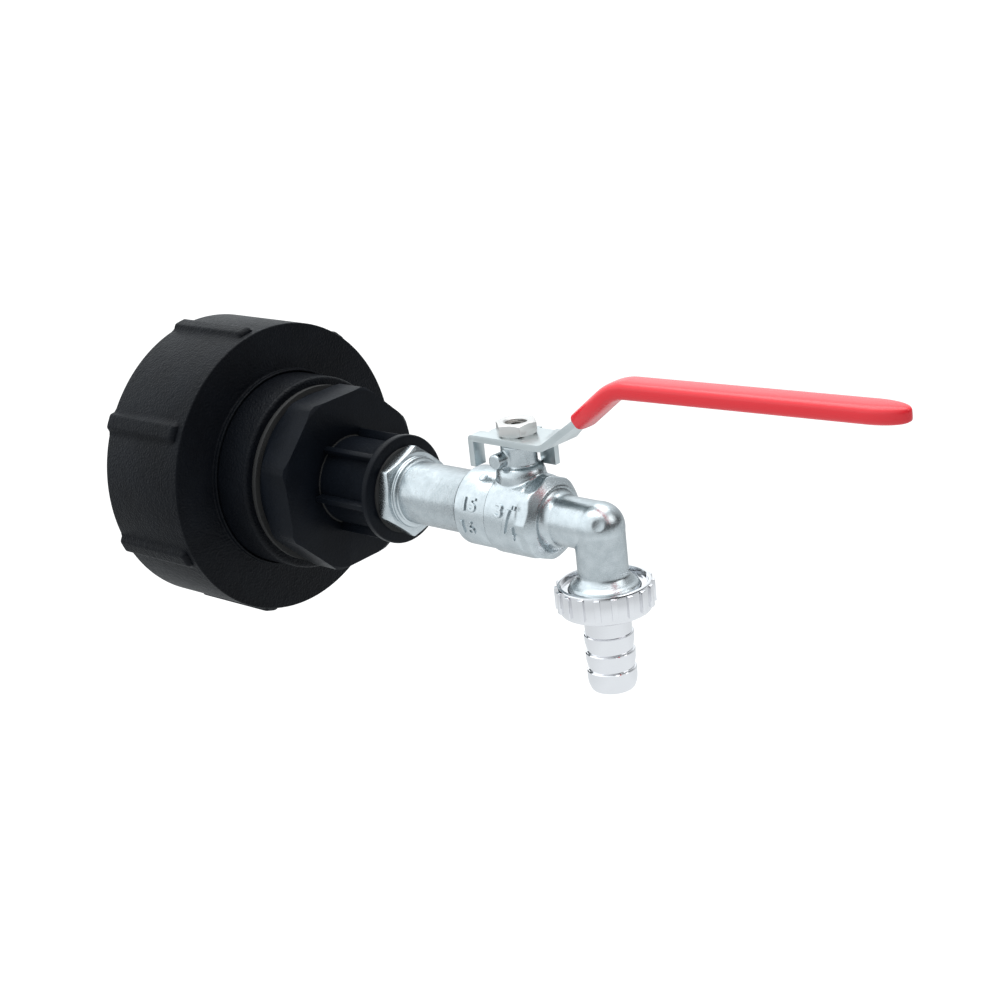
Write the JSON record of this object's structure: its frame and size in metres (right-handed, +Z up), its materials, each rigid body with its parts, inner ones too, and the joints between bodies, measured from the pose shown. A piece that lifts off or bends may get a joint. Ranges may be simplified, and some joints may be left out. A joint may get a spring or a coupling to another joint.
{
  "type": "ibc tank valve",
  "caption": "Tank outlet adapter: large ribbed coupling cap, stepped plastic adapters, lever ball valve and a hose tail on a bent spout.",
  "frame": {"origin": "on the valve's axis, at the open mouth of the coupling cap", "axes": "+X from the tank along the valve, +Z up the lever's stem, the spout points along -Z"},
  "size_m": [0.3402, 0.121, 0.1238],
  "materials": {
    "black_plastic": "grained black polypropylene",
    "adapter_plastic": "smoother black polypropylene",
    "black_rubber": "moulded black rubber",
    "nickel": "satin nickel plate over brass",
    "bright_chrome": "bright chrome plate over brass",
    "zinc_steel": "bright zinc plate over steel",
    "nut_steel": "plain stainless steel",
    "red_vinyl": "glossy dipped vinyl",
    "white_seat": "white fluoropolymer",
    "stem_brass": "turned brass"
  },
  "bodies": {
    "valve": {"tank_gasket": "black_rubber", "nozzle": "black_plastic", "adapter_seal": "black_rubber", "octagon_adapter": "adapter_plastic", "bush_o_ring": "black_rubber", "ribbed_bush": "adapter_plastic", "inlet_seal": "black_rubber", "inlet_end": "nickel", "body_seal": "black_rubber", "valve_body": "nickel", "seat_inlet": "white_seat", "seat_outlet": "white_seat", "thrust_washer": "white_seat", "tail_gasket": "black_rubber"},
    "cap": {"coupling_cap": "black_plastic"},
    "lever": {"lever": "zinc_steel", "grip": "red_vinyl", "stem_nut": "nut_steel", "stem": "stem_brass", "stem_o_rings": "black_rubber", "ball": "bright_chrome"},
    "union_nut": {"union_nut": "bright_chrome"},
    "hose_tail": {"hose_tail": "bright_chrome"}
  },
  "joints": [
    {"name": "cap_turn", "type": "hinge", "parent": "valve", "child": "cap", "pos_m": [0.0415, 0, 0], "axis": [1, 0, 0], "continuous": true},
    {"name": "lever_turn", "type": "hinge", "parent": "valve", "child": "lever", "pos_m": [0.1745, 0, 0.02], "axis": [0, 0, 1], "range_deg": [-90, 0]},
    {"name": "union_nut_turn", "type": "hinge", "parent": "valve", "child": "union_nut", "pos_m": [0.2098, 0, -0.0235], "axis": [0, 0, 1], "continuous": true},
    {"name": "hose_tail_turn", "type": "hinge", "parent": "valve", "child": "hose_tail", "pos_m": [0.2098, 0, -0.027], "axis": [0, 0, 1], "continuous": true}
  ]
}
